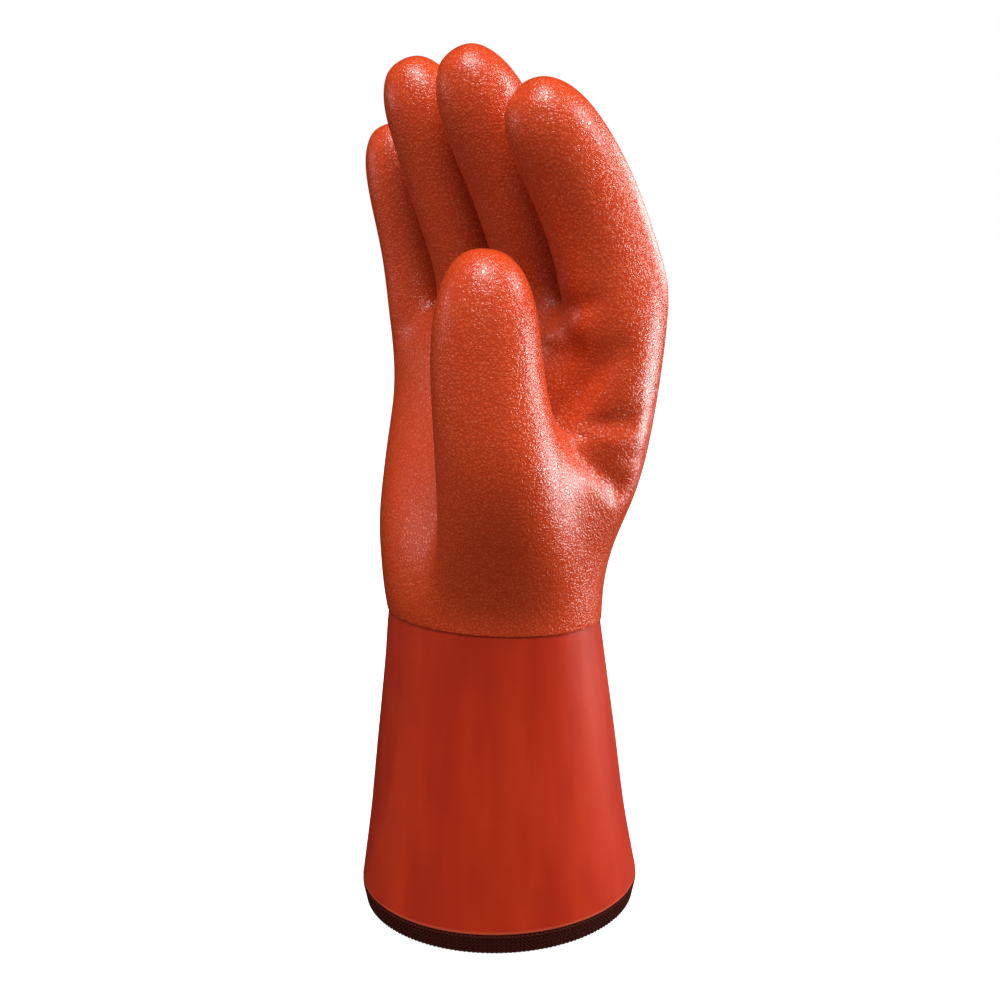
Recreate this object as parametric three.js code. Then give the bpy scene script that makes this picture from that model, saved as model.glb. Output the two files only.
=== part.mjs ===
// A right-hand work glove, dipped in PVC, standing on its open cuff as if a hand filled it.
// Millimetres. +Z runs up the arm to the fingertips, +X to the thumb's side, +Y to the back of the hand.
import * as THREE from 'three';

// Driving sizes.
const cuffHeight = 107;         // from the floor to the dip line of the rough coat, on the glove's axis
const cuffRimWidth = 99;        // the flared sleeve at its rim, thumb side to little finger side
const cuffRimDepth = 103;       // the same, palm to back
const wristWidth = 82;          // the rough coat at the dip line
const wristDepth = 73;
const wristShift = -3;          // how far the wrist lies towards the palm from the rim's centre
const dipLineRise = 1;          // how much higher the dip line is on the palm's side than on the axis
const palmLength = 110;         // from the dip line to the webs between the fingers
const palmWidth = 125;          // across the roots of the four fingers
const palmDepth = 50;           // palm to back, at the middle of the hand
const fingerLength = 88;        // the middle finger, from its web to its tip
const fingerGirth = 31.5;       // the middle finger's thickness
const thumbLength = 112;        // from inside the heel of the hand to the tip
const thumbGirth = 34.5;
const handWall = 3.0;           // rough coat and padded liner together
const cuffWall = 2.6;           // smooth coat and liner together
const coatStep = 0.6;           // how far the rough coat stands out over the smooth one at the dip line
const tuckHeight = 9;           // how far the sleeve reaches up inside the hand
const tuckWall = 1.5;
const tuckTaper = 1.6;          // how far the tuck's end draws in, clear of the hand's wall
const hemHeight = 7;            // the dark hem that shows under the rim
const hemTaper = 1.5;           // how far it draws in towards its lower edge
const hemTuckHeight = 8;        // the hem's turned-up part inside the sleeve
const hemTuckWall = 1.3;
const seatGap = 0.3;            // clearance where one piece is seated on another
const sleeveSides = 40;         // flats round the sleeve and the hem: twice the columns of the hand

// The palm's rows, from the dip line up to just under the webs. up and drop are shares of palmLength, and
// drop is how far the row sinks on dropSide; width is a share of palmWidth, back and front of half its
// depth; across, of palmWidth, and rear, of palmDepth, shift the row to the thumb's side and to the back;
// turn is in degrees, the thumb's side backwards; corner is 2 for an ellipse and more for a box.
const palmRows = [
  { up: 0.08, drop: 0.00, width: 0.68, back: 1.42, front: 1.52, across: 0, rear: -0.06, turn: 0, corner: 2.0 },
  { up: 0.28, drop: 0.05, width: 0.76, back: 1.36, front: 1.46, across: -0.02, rear: -0.03, turn: 2, corner: 2.1 },
  { up: 0.48, drop: 0.12, width: 0.84, back: 1.26, front: 1.18, across: -0.01, rear: 0.03, turn: 4, corner: 2.3 },
  { up: 0.68, drop: 0.17, width: 0.89, back: 1.12, front: 0.82, across: 0, rear: 0.08, turn: 5, corner: 2.5 },
  { up: 0.84, drop: 0.08, width: 0.96, back: 0.96, front: 0.76, across: 0, rear: 0.13, turn: 6, corner: 2.6 },
];

// The index, middle, ring and little finger in turn. x is a share of half the palm's width, y of
// palmDepth, and up of palmLength; length and girth are shares of the middle finger's; lean is the tilt
// towards the palm in degrees, at the root and at the tip, and splay the tilt towards the thumb.
const fingers = [
  { x: 0.75, y: 0.22, up: 0.98, length: 0.86, girth: 1.00, lean: [13, 53], splay: [0, 0] },
  { x: 0.25, y: 0.27, up: 1.00, length: 1.00, girth: 1.00, lean: [23, 37], splay: [0, 0] },
  { x: -0.25, y: 0.18, up: 1.00, length: 0.985, girth: 1.00, lean: [20, 32], splay: [0, 0] },
  { x: -0.74, y: 0.08, up: 0.95, length: 0.80, girth: 0.89, lean: [10, 20], splay: [-2, -2] },
];

// The thumb's line starts inside the heel of the hand, and the thumb stands in front of the palm. Its x,
// y, up, lean and splay are measured as a finger's are.
const thumb = { x: 0.69, y: -0.41, up: 0.13, lean: [17, 2], splay: [-8, 8] };
const thumbRows = [1, 2, 3, 4];           // the hand's rows round its root, counted from the dip line
const thumbColumns = [16, 17, 18, 19, 0]; // and the columns round its root, counted from the thumb's side
const thumbOutside = new THREE.Vector3(0.57, -0.82, 0);   // the way its outer side faces

// Sections along a digit: along is a share of its length; deep, towards its outer side, and wide, square
// to that, are shares of its girth; tip in degrees tilts the section, its outer side down.
const fingerSections = [
  { along: 0.00, wide: 0.97, deep: 1.24, tip: 0 },
  { along: 0.13, wide: 0.94, deep: 1.17, tip: 0 },
  { along: 0.33, wide: 0.93, deep: 1.09, tip: 0 },
  { along: 0.55, wide: 0.93, deep: 1.03, tip: 0 },
  { along: 0.76, wide: 0.90, deep: 0.95, tip: 0 },
  { along: 0.90, wide: 0.75, deep: 0.76, tip: 0 },
  { along: 0.985, wide: 0.40, deep: 0.40, tip: 0 },
];
const thumbSections = [
  { along: 0.43, wide: 1.15, deep: 1.12, tip: 24 },
  { along: 0.58, wide: 1.04, deep: 1.04, tip: 14 },
  { along: 0.72, wide: 1.00, deep: 0.98, tip: 3 },
  { along: 0.85, wide: 0.90, deep: 0.90, tip: 0 },
  { along: 0.945, wide: 0.68, deep: 0.68, tip: 0 },
  { along: 0.99, wide: 0.34, deep: 0.34, tip: 0 },
];

const dropSide = THREE.MathUtils.degToRad(36);   // where the rows drop most, round from the thumb's side
const palmColumns = 20;         // points round the hand's cage
const fingerColumns = 8;        // points round a finger's cage
const thumbRingColumns = 14;    // points round the thumb's cage
const sleeveEase = 0.9;         // 1 makes the sleeve a straight cone, and less draws it in near the rim
const up = new THREE.Vector3(0, 0, 1);
const toPalm = new THREE.Vector3(0, -1, 0);

// How far a ring of cage points lies outside the smooth ring that subdivision makes of it.
const cageSwell = (count) => 1 / (2 / 3 + Math.cos((2 * Math.PI) / count) / 3);

// The height of the dip line over the floor at a given place.
const dipLineAt = (y) => cuffHeight - (dipLineRise * y) / (wristDepth / 2);

// A point on a rounded section: corner 2 gives an ellipse, and more gives flatter sides.
function sectionPoint(angle, halfWidth, back, front, corner) {
  const c = Math.cos(angle);
  const s = Math.sin(angle);
  const round = (value) => Math.sign(value) * Math.abs(value) ** (2 / corner);
  return { x: halfWidth * round(c), y: (s > 0 ? back : front) * round(s) };
}

// The cage's row at the dip line: an ellipse on the line's own slope.
function wristRow() {
  const halfWidth = (wristWidth / 2) * cageSwell(palmColumns);
  const halfDepth = (wristDepth / 2) * cageSwell(palmColumns);
  return Array.from({ length: palmColumns }, (_, k) => {
    const angle = (k * 2 * Math.PI) / palmColumns;
    const p = sectionPoint(angle, halfWidth, halfDepth, halfDepth, 2);
    return new THREE.Vector3(p.x, p.y + wristShift, dipLineAt(p.y));
  });
}

function palmRow({ up: share, drop, width, back, front, across, rear, turn, corner }) {
  const swell = cageSwell(palmColumns);
  const half = (palmDepth / 2) * swell;
  const shift = new THREE.Vector3(across * palmWidth, rear * palmDepth, 0);
  return Array.from({ length: palmColumns }, (_, k) => {
    const angle = (k * 2 * Math.PI) / palmColumns;
    const p = sectionPoint(angle, (palmWidth / 2) * width * swell, half * back, half * front, corner);
    const floor = dipLineAt(p.y) * (1 - share) + cuffHeight * share;
    const dropHere = drop * ((1 + Math.cos(angle - dropSide)) / 2) ** 2;
    return new THREE.Vector3(p.x, p.y, floor + (share - dropHere) * palmLength)
      .applyAxisAngle(up, THREE.MathUtils.degToRad(turn))
      .add(shift);
  });
}

// A digit's centre line, bending evenly from its first direction to its last.
function digitLine(digit, length) {
  const steps = 24;
  const at = new THREE.Vector3(
    (digit.x * palmWidth) / 2, digit.y * palmDepth, cuffHeight + digit.up * palmLength);
  const points = [at.clone()];
  for (let i = 0; i < steps; i++) {
    const share = (i + 0.5) / steps;
    const lean = THREE.MathUtils.degToRad(THREE.MathUtils.lerp(...digit.lean, share));
    const splay = THREE.MathUtils.degToRad(THREE.MathUtils.lerp(...digit.splay, share));
    const step = new THREE.Vector3(
      Math.sin(splay), -Math.cos(splay) * Math.sin(lean), Math.cos(splay) * Math.cos(lean));
    at.addScaledVector(step, length / steps);
    points.push(at.clone());
  }
  return new THREE.CatmullRomCurve3(points);
}

// A ring of cage points round a digit's line. Its points start firstAngle from the side that points away
// from the palm, anticlockwise when seen from the tip.
function digitRing(line, { along, wide, deep, tip }, girth, { outside, columns, firstAngle }) {
  const centre = line.getPointAt(along);
  const tangent = line.getTangentAt(along);
  const out = outside.clone().addScaledVector(tangent, -outside.dot(tangent)).normalize();
  const across = tangent.clone().cross(out);
  out.applyAxisAngle(across, THREE.MathUtils.degToRad(tip));
  const radius = (girth / 2) * cageSwell(columns);
  return Array.from({ length: columns }, (_, j) => {
    const angle = firstAngle + (j * 2 * Math.PI) / columns;
    return centre.clone()
      .addScaledVector(out, radius * deep * Math.cos(angle))
      .addScaledVector(across, radius * wide * Math.sin(angle));
  });
}

// A mesh of four-sided faces under construction.
class Cage {
  points = [];
  faces = [];

  addRow(row) {
    return row.map((point) => this.points.push(point) - 1);
  }

  // Joins two closed rings of the same count, leaving out the faces that skip names.
  bridge(lower, upper, skip = () => false) {
    lower.forEach((_, k) => {
      const next = (k + 1) % lower.length;
      if (!skip(k)) this.faces.push([lower[k], lower[next], upper[next], upper[k]]);
    });
  }

  // Closes a ring with four-sided faces round a middle point.
  cap(ring, middle) {
    const [centre] = this.addRow([middle]);
    for (let j = 0; j < ring.length; j += 2) {
      this.faces.push([centre, ring[j], ring[j + 1], ring[(j + 2) % ring.length]]);
    }
  }

  // Grows a digit from the ring of points that it stands on.
  grow(root, line, sections, girth, layout) {
    let lower = root;
    for (const section of sections) {
      const upper = this.addRow(digitRing(line, section, girth, layout));
      this.bridge(lower, upper);
      lower = upper;
    }
    this.cap(lower, line.getPointAt(1));
  }
}

// The same mesh without the points that no face uses.
function withoutLoosePoints({ points, faces }) {
  const used = [...new Set(faces.flat())].sort((a, b) => a - b);
  const place = new Map(used.map((p, i) => [p, i]));
  return { points: used.map((p) => points[p]), faces: faces.map((face) => face.map((p) => place.get(p))) };
}

// The whole hand as a coarse cage, open at the dip line.
function handCage() {
  const cage = new Cage();
  const lines = fingers.map((finger) => digitLine(finger, finger.length * fingerLength));
  const girths = fingers.map((finger) => finger.girth * fingerGirth);
  const [rootSection, ...sections] = fingerSections;
  const fingerLayout = { outside: toPalm, columns: fingerColumns, firstAngle: Math.PI / 2 };
  const roots = lines.map((line, i) => digitRing(line, rootSection, girths[i], fingerLayout));

  // The top row runs round all four roots, and neighbours share the three points of the web between them.
  const halfway = (a, b) => a.clone().add(b).multiplyScalar(0.5);
  const topPoints = new Array(palmColumns);
  const webPoints = [];
  fingers.forEach((_, i) => {
    const root = roots[i];
    const next = roots[i + 1];
    topPoints[2 * i + 2] = root[2];
    topPoints[palmColumns - 2 - 2 * i] = root[6];
    if (!next) return;
    topPoints[2 * i + 3] = halfway(root[3], next[1]);
    topPoints[palmColumns - 3 - 2 * i] = halfway(root[5], next[7]);
    webPoints.push(halfway(root[4], next[0]));
  });
  [topPoints[0], topPoints[1], topPoints[19]] = [roots[0][0], roots[0][1], roots[0][7]];
  [topPoints[9], topPoints[10], topPoints[11]] = [roots[3][3], roots[3][4], roots[3][5]];

  const rows = [wristRow(), ...palmRows.map(palmRow), topPoints].map((row) => cage.addRow(row));
  const top = rows[rows.length - 1];
  const webs = [top[0], ...cage.addRow(webPoints), top[10]];
  rows.slice(1).forEach((upper, r) => {
    const besideThumb = thumbRows.slice(0, -1).includes(r);
    cage.bridge(rows[r], upper, (k) => besideThumb && thumbColumns.slice(0, -1).includes(k));
  });

  lines.forEach((line, i) => {
    const root = [
      webs[i], top[2 * i + 1], top[2 * i + 2], top[2 * i + 3],
      webs[i + 1], top[17 - 2 * i], top[18 - 2 * i], top[(19 - 2 * i) % palmColumns],
    ];
    cage.grow(root, line, sections, girths[i], fingerLayout);
  });

  const [low, lowMiddle, highMiddle, high] = thumbRows.map((r) => thumbColumns.map((k) => rows[r][k]));
  const thumbRoot = [
    ...low, lowMiddle.at(-1), highMiddle.at(-1), ...high.toReversed(), highMiddle[0], lowMiddle[0],
  ];
  const firstAngle = (-Math.PI * (thumbColumns.length - 1)) / thumbRingColumns;
  const thumbLayout = { outside: thumbOutside, columns: thumbRingColumns, firstAngle };
  const thumbLine = digitLine(thumb, thumbLength);
  const firstRing = digitRing(thumbLine, thumbSections[0], thumbGirth, thumbLayout);
  const neck = cage.addRow(firstRing.map((point, j) => halfway(point, cage.points[thumbRoot[j]])));
  cage.bridge(thumbRoot, neck);
  cage.grow(neck, thumbLine, thumbSections, thumbGirth, thumbLayout);
  return withoutLoosePoints(cage);
}

// Every edge of a mesh of four-sided faces, with its two ends and the faces beside it.
function edgesOf(faces) {
  const edges = new Map();
  faces.forEach((face, f) => face.forEach((a, i) => {
    const b = face[(i + 1) % face.length];
    const key = Math.min(a, b) + ':' + Math.max(a, b);
    if (!edges.has(key)) edges.set(key, { ends: [a, b], faces: [] });
    edges.get(key).faces.push(f);
  }));
  return edges;
}

const meanOf = (points) => points
  .reduce((sum, point) => sum.add(point), new THREE.Vector3())
  .multiplyScalar(1 / points.length);

// For each point: its neighbours along edges, its neighbours along the open border, and the opposite
// corners.
function neighboursOf({ points, faces }) {
  const around = points.map(() => ({ near: new Set(), border: [], far: [] }));
  for (const { ends: [a, b], faces: beside } of edgesOf(faces).values()) {
    around[a].near.add(b);
    around[b].near.add(a);
    if (beside.length === 1) {
      around[a].border.push(b);
      around[b].border.push(a);
    }
  }
  faces.forEach((face) => face.forEach((p, i) => around[p].far.push(face[(i + 2) % face.length])));
  return around;
}

// One step of Catmull-Clark subdivision.
function subdivide({ points, faces }) {
  const facePoints = faces.map((face) => meanOf(face.map((p) => points[p])));
  const around = neighboursOf({ points, faces });
  const facesAt = points.map(() => []);
  faces.forEach((face, f) => face.forEach((p) => facesAt[p].push(f)));

  const moved = points.map((point, p) => {
    const { near, border } = around[p];
    if (border.length) {
      const beside = meanOf(border.map((q) => points[q]));
      return point.clone().multiplyScalar(0.75).addScaledVector(beside, 0.25);
    }
    const n = near.size;
    const faceMean = meanOf(facesAt[p].map((f) => facePoints[f]));
    const edgeMean = meanOf([...near].map((q) => points[q].clone().add(point).multiplyScalar(0.5)));
    return faceMean.addScaledVector(edgeMean, 2).addScaledVector(point, n - 3).multiplyScalar(1 / n);
  });

  const made = [...moved, ...facePoints];
  const edgeIndex = new Map();
  for (const [key, { ends: [a, b], faces: beside }] of edgesOf(faces)) {
    const sources = [points[a], points[b]];
    if (beside.length === 2) sources.push(...beside.map((f) => facePoints[f]));
    edgeIndex.set(key, made.push(meanOf(sources)) - 1);
  }
  const middle = (a, b) => edgeIndex.get(Math.min(a, b) + ':' + Math.max(a, b));
  const split = faces.flatMap((face, f) => face.map((p, i) => [
    p, middle(p, face[(i + 1) % 4]), moved.length + f, middle(face[(i + 3) % 4], p),
  ]));
  return { points: made, faces: split };
}

// Moves every point to where endless subdivision would take it.
function settle(mesh) {
  const { points } = mesh;
  const settled = neighboursOf(mesh).map(({ near, border, far }, p) => {
    if (border.length) {
      const beside = meanOf(border.map((q) => points[q]));
      return points[p].clone().multiplyScalar(2 / 3).addScaledVector(beside, 1 / 3);
    }
    const n = near.size;
    const sum = points[p].clone().multiplyScalar(n * n);
    near.forEach((q) => sum.addScaledVector(points[q], 4));
    far.forEach((q) => sum.add(points[q]));
    return sum.multiplyScalar(1 / (n * (n + 5)));
  });
  return { points: settled, faces: mesh.faces };
}

function normalsOf({ points, faces }) {
  const normals = points.map(() => new THREE.Vector3());
  for (const [a, b, c, d] of faces) {
    const normal = points[c].clone().sub(points[a]).cross(points[d].clone().sub(points[b]));
    [a, b, c, d].forEach((p) => normals[p].add(normal));
  }
  return normals.map((normal) => normal.normalize());
}

// Turns four-sided faces into a closed three.js geometry.
function geometryOf(points, faces) {
  const geometry = new THREE.BufferGeometry().setFromPoints(points);
  geometry.setIndex(faces.flatMap(([a, b, c, d]) => [a, b, c, a, c, d]));
  geometry.computeVertexNormals();
  return geometry;
}

// A hollow of even thickness behind an open surface. The border's own end face stays on the border's plane.
function shellGeometry(mesh, wall) {
  const { points, faces } = mesh;
  const count = points.length;
  const around = neighboursOf(mesh);
  const inner = normalsOf(mesh).map((normal, p) => {
    const inwards = around[p].border.length ? normal.projectOnPlane(up).normalize() : normal;
    return points[p].clone().addScaledVector(inwards, -wall);
  });
  const innerFaces = faces.map((face) => face.map((p) => p + count).reverse());
  const rim = [...edgesOf(faces).values()]
    .filter((edge) => edge.faces.length === 1)
    .map(({ ends: [a, b] }) => [b, a, a + count, b + count]);
  return geometryOf([...points, ...inner], [...faces, ...innerFaces, ...rim]);
}

// The outside of the sleeve between the rim and the dip line: share is 0 at the rim and 1 at the line.
function sleeveSection(share, inset, angle) {
  const eased = share ** sleeveEase;
  const halfWidth = THREE.MathUtils.lerp(cuffRimWidth / 2, wristWidth / 2 - coatStep, eased) - inset;
  const halfDepth = THREE.MathUtils.lerp(cuffRimDepth / 2, wristDepth / 2 - coatStep, eased) - inset;
  return { x: halfWidth * Math.cos(angle), y: halfDepth * Math.sin(angle) + wristShift * eased };
}

// A closed ring whose profile runs round its wall. Each profile point has a height, and an inset from the
// sleeve's outside; the height follows the slope of the dip line more and more from the hem up.
function ringGeometry(profile) {
  const points = [];
  for (let k = 0; k < sleeveSides; k++) {
    const angle = (k * 2 * Math.PI) / sleeveSides;
    for (const { height, inset } of profile) {
      const share = THREE.MathUtils.clamp((height - hemHeight) / (cuffHeight - hemHeight), 0, 1);
      const { x, y } = sleeveSection(share, inset, angle);
      points.push(new THREE.Vector3(x, y, height + share * (dipLineAt(y - wristShift) - cuffHeight)));
    }
  }
  const faces = [];
  const size = profile.length;
  for (let k = 0; k < sleeveSides; k++) {
    const here = k * size;
    const there = ((k + 1) % sleeveSides) * size;
    for (let i = 0; i < size; i++) {
      const j = (i + 1) % size;
      faces.push([here + i, there + i, there + j, here + j]);
    }
  }
  return geometryOf(points, faces);
}

function handMesh() {
  const geometry = shellGeometry(settle(subdivide(handCage())), handWall);
  const material = new THREE.MeshStandardMaterial({ color: 0xd4522c, roughness: 0.62, metalness: 0 });
  const mesh = new THREE.Mesh(geometry, material);
  mesh.name = 'hand';
  return mesh;
}

function cuffMesh() {
  const bottom = hemHeight + seatGap;
  const shoulder = cuffHeight - seatGap;
  const tuckInset = handWall - coatStep + seatGap;
  const lip = 0.7;
  const rows = 7;
  const outside = Array.from({ length: rows + 1 }, (_, i) => ({
    height: THREE.MathUtils.lerp(bottom + lip, shoulder, i / rows), inset: 0,
  }));
  const profile = [
    ...outside,
    { height: shoulder, inset: tuckInset },
    { height: shoulder + tuckHeight, inset: tuckInset + tuckTaper },
    { height: shoulder + tuckHeight, inset: tuckInset + tuckTaper + tuckWall },
    { height: shoulder - tuckHeight, inset: tuckInset + tuckWall },
    { height: shoulder - 3 * tuckHeight, inset: cuffWall },
    { height: (bottom + shoulder) / 2, inset: cuffWall },
    { height: bottom + 2 * tuckHeight, inset: cuffWall },
    { height: bottom, inset: cuffWall },
    { height: bottom, inset: lip },
  ];
  const material = new THREE.MeshStandardMaterial({ color: 0xc23a1e, roughness: 0.36, metalness: 0 });
  const mesh = new THREE.Mesh(ringGeometry(profile), material);
  mesh.name = 'cuff';
  return mesh;
}

function hemMesh() {
  const inside = cuffWall + seatGap;
  const round = 0.8;
  const profile = [
    { height: 0, inset: hemTaper + round },
    { height: round, inset: hemTaper },
    { height: hemHeight, inset: 0 },
    { height: hemHeight, inset: inside },
    { height: hemHeight + hemTuckHeight, inset: inside },
    { height: hemHeight + hemTuckHeight, inset: inside + hemTuckWall },
    { height: round, inset: inside + hemTuckWall },
    { height: 0, inset: inside + hemTuckWall - round },
  ];
  const material = new THREE.MeshStandardMaterial({ color: 0x2a0e0c, roughness: 0.85, metalness: 0 });
  const mesh = new THREE.Mesh(ringGeometry(profile), material);
  mesh.name = 'hem';
  return mesh;
}

// The glove, moved so that the middle of its footprint box is the origin.
const glove = new THREE.Group();
glove.add(handMesh(), cuffMesh(), hemMesh());
const middle = new THREE.Box3().setFromObject(glove, true).getCenter(new THREE.Vector3());
glove.position.set(-middle.x, -middle.y, 0);

export default glove;
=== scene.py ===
"""A right-hand work glove, dipped in PVC and standing on its open cuff, around its solids."""

import logging
import math
from dataclasses import dataclass, field
from enum import Enum
from functools import partial

import bmesh
import bpy
import numpy as np
from mathutils import Matrix, Vector, noise


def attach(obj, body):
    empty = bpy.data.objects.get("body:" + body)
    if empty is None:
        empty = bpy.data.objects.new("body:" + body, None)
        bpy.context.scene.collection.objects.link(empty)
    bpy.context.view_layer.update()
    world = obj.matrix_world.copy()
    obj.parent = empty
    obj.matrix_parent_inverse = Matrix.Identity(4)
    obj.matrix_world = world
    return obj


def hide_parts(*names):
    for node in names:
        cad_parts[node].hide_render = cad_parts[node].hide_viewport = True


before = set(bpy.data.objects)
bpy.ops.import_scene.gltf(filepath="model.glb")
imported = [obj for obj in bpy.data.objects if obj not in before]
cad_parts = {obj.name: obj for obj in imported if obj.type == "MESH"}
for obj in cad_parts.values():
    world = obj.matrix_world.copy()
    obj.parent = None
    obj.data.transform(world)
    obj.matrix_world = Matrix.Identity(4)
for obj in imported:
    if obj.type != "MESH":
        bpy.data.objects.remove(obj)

MM = 0.001
IMAGE_PIXELS = 1000
CORNER_DEGREES = 50.0
WHITE = (1, 1, 1, 1)
LOG = logging.getLogger("glove")

Point = tuple[float, float, float]
Pair = tuple[float, float]
Profile = list[Pair]
Value = object

# The kinds and settings of the nodes that come back most.
MATH = "ShaderNodeMath"
VECTOR_MATH = "ShaderNodeVectorMath"
MAP_RANGE = "ShaderNodeMapRange"
MIX = "ShaderNodeMix"
NOISE = "ShaderNodeTexNoise"
BUMP = "ShaderNodeBump"
SEPARATE = "ShaderNodeSeparateXYZ"
COMBINE = "ShaderNodeCombineXYZ"
ADD = {"operation": "ADD"}
SUBTRACT = {"operation": "SUBTRACT"}
MULTIPLY = {"operation": "MULTIPLY"}
DIVIDE = {"operation": "DIVIDE"}
MULTIPLY_ADD = {"operation": "MULTIPLY_ADD"}
SMOOTH = {"interpolation_type": "SMOOTHSTEP"}
COLOURS = {"data_type": "RGBA"}

# Places of a Mix node's sockets, several of which share a name.
NUMBER_A, NUMBER_B = 2, 3
COLOUR_A, COLOUR_B = 6, 7
MIXED_COLOUR = 2

# What a noise texture's colour swings round.
NOISE_MIDDLE = (0.5, 0.5, 0.5)

# Directions on a profile, in degrees.
UP, OUT, DOWN = 0, 90, 180


class Slot(Enum):
    """The record's material slots."""

    HAND = "hand"
    CUFF = "cuff"
    HEM = "hem"


class Side(Enum):
    """The two sides of a shell, as the place of their material in its list."""

    OUTER = 0
    INNER = 1


def linear(colour: str) -> tuple[float, float, float, float]:
    """Turns an sRGB hex colour to linear light, by the curve of the sRGB standard.

    Args:
        colour: six hex digits after a hash.

    Returns:
        Red, green, blue and an alpha of 1.
    """
    channels = [int(colour[i : i + 2], 16) / 255 for i in (1, 3, 5)]
    return (*(c / 12.92 if c <= 0.04045 else ((c + 0.055) / 1.055) ** 2.4 for c in channels), 1.0)


def set_inputs(node: bpy.types.Node, inputs: dict[str | int, Value]) -> None:
    """Gives a node its inputs, as values or links.

    Args:
        node: the node.
        inputs: for an input's name or place, a value, a socket, or a node for its first output.
    """
    for key, value in inputs.items():
        source = value.outputs[0] if isinstance(value, bpy.types.Node) else value
        if isinstance(source, bpy.types.NodeSocket):
            node.id_data.links.new(source, node.inputs[key])
        else:
            node.inputs[key].default_value = source


def add_node(
    tree: bpy.types.NodeTree,
    kind: str,
    settings: dict[str, Value] | None = None,
    inputs: dict[str | int, Value] | None = None,
) -> bpy.types.Node:
    """Adds a node with its settings and links.

    Args:
        tree: the node tree that it joins.
        kind: the node's type name.
        settings: its own properties.
        inputs: what set_inputs takes.

    Returns:
        The new node.
    """
    node = tree.nodes.new(kind)
    for name, value in (settings or {}).items():
        setattr(node, name, value)
    set_inputs(node, inputs or {})
    return node


def new_material(name: str) -> tuple[bpy.types.Material, bpy.types.Node]:
    """Starts a node material.

    Args:
        name: the material's name.

    Returns:
        The material and its shader.
    """
    material = bpy.data.materials.new(name)
    material.use_nodes = True
    return material, material.node_tree.nodes["Principled BSDF"]


def per_mm(length: float) -> float:
    """The scale that gives a noise or cell pattern this period, on coordinates in metres."""
    return 1 / (length * MM)


# Finishes. Their lengths are millimetres.


@dataclass(frozen=True)
class RoughDippedPvc:
    """Foamed PVC plastisol over a knitted liner, dipped and then roughened before it set.

    The eye sees small rounded grains with duller crevices between them, and a pale satin
    sheen on the grains' tops. The crevices are also painted a little darker, which is painted
    shade. The finest grit of the real coat is too fine to show, so the grains are drawn as
    coarse as they need to be.
    """

    name: str = "Rough_dipped_PVC"
    colour: str = "#bc3d14"
    paler_colour: str = "#c84817"
    # The crevices' colour is painted shade, a little darker than the grains' tops.
    crevice_shade_colour: str = "#ac3412"
    grain: float = 1.25
    grain_edges: Pair = (0.36, 0.6)
    drift: float = 2.5
    warp: float = 1.375
    crumb: float = 0.85
    crumb_distortion: float = 0.8
    crumb_share: float = 1.5
    opening: float = 0.6
    lump: float = 4.5
    lump_share: float = 2.4
    octaves: float = 1.0
    mottle: float = 28.0
    mottle_octaves: float = 3.0
    relief: float = 0.06
    crevice_sheen: float = 0.3
    top_sheen: float = 1.0
    ior: float = 1.53
    roughness: float = 0.28

    def material(self) -> bpy.types.Material:
        """Builds the node material.

        Returns:
            The material.
        """
        material, shader = new_material(self.name)
        node = partial(add_node, material.node_tree)
        place = node("ShaderNodeTexCoord").outputs["Object"]
        drift = node(NOISE, inputs={"Vector": place, "Scale": per_mm(self.drift)})
        centred = node(VECTOR_MATH, SUBTRACT, {0: drift.outputs["Color"], 1: NOISE_MIDDLE})
        warped = node(VECTOR_MATH, MULTIPLY_ADD, {0: centred, 1: (self.warp * MM,) * 3, 2: place})
        cells = node(
            "ShaderNodeTexVoronoi",
            {"feature": "DISTANCE_TO_EDGE"},
            {"Vector": warped, "Scale": per_mm(self.grain)},
        )
        crumb = node(
            NOISE,
            inputs={
                "Vector": place,
                "Scale": per_mm(self.crumb),
                "Detail": self.octaves,
                "Distortion": self.crumb_distortion,
            },
        )
        edge = node(MATH, MULTIPLY_ADD, {0: crumb, 1: self.opening, 2: cells})
        crevice, top = self.grain_edges
        grain = node(MAP_RANGE, SMOOTH, {"Value": edge, "From Min": crevice, "From Max": top})
        lump = node(
            NOISE, inputs={"Vector": place, "Scale": per_mm(self.lump), "Detail": self.octaves}
        )
        fine = node(MATH, MULTIPLY_ADD, {0: crumb, 1: self.crumb_share, 2: grain})
        height = node(MATH, MULTIPLY_ADD, {0: lump, 1: self.lump_share, 2: fine})
        bump = node(BUMP, inputs={"Height": height, "Distance": self.relief * MM})
        mottle = node(
            NOISE,
            inputs={"Vector": place, "Scale": per_mm(self.mottle), "Detail": self.mottle_octaves},
        )
        body = node(
            MIX,
            COLOURS,
            {"Factor": mottle, COLOUR_A: linear(self.colour), COLOUR_B: linear(self.paler_colour)},
        )
        # Painted shade: the crevices between the grains are mixed towards a darker colour.
        colour = node(
            MIX,
            COLOURS,
            {
                "Factor": grain,
                COLOUR_A: linear(self.crevice_shade_colour),
                COLOUR_B: body.outputs[MIXED_COLOUR],
            },
        )
        sheen = node(
            MAP_RANGE,
            inputs={"Value": grain, "To Min": self.crevice_sheen, "To Max": self.top_sheen},
        )
        surface = {
            "Base Color": colour.outputs[MIXED_COLOUR],
            "Specular IOR Level": sheen,
            "Normal": bump,
            "Roughness": self.roughness,
            "IOR": self.ior,
        }
        set_inputs(shader, surface)
        return material


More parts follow.
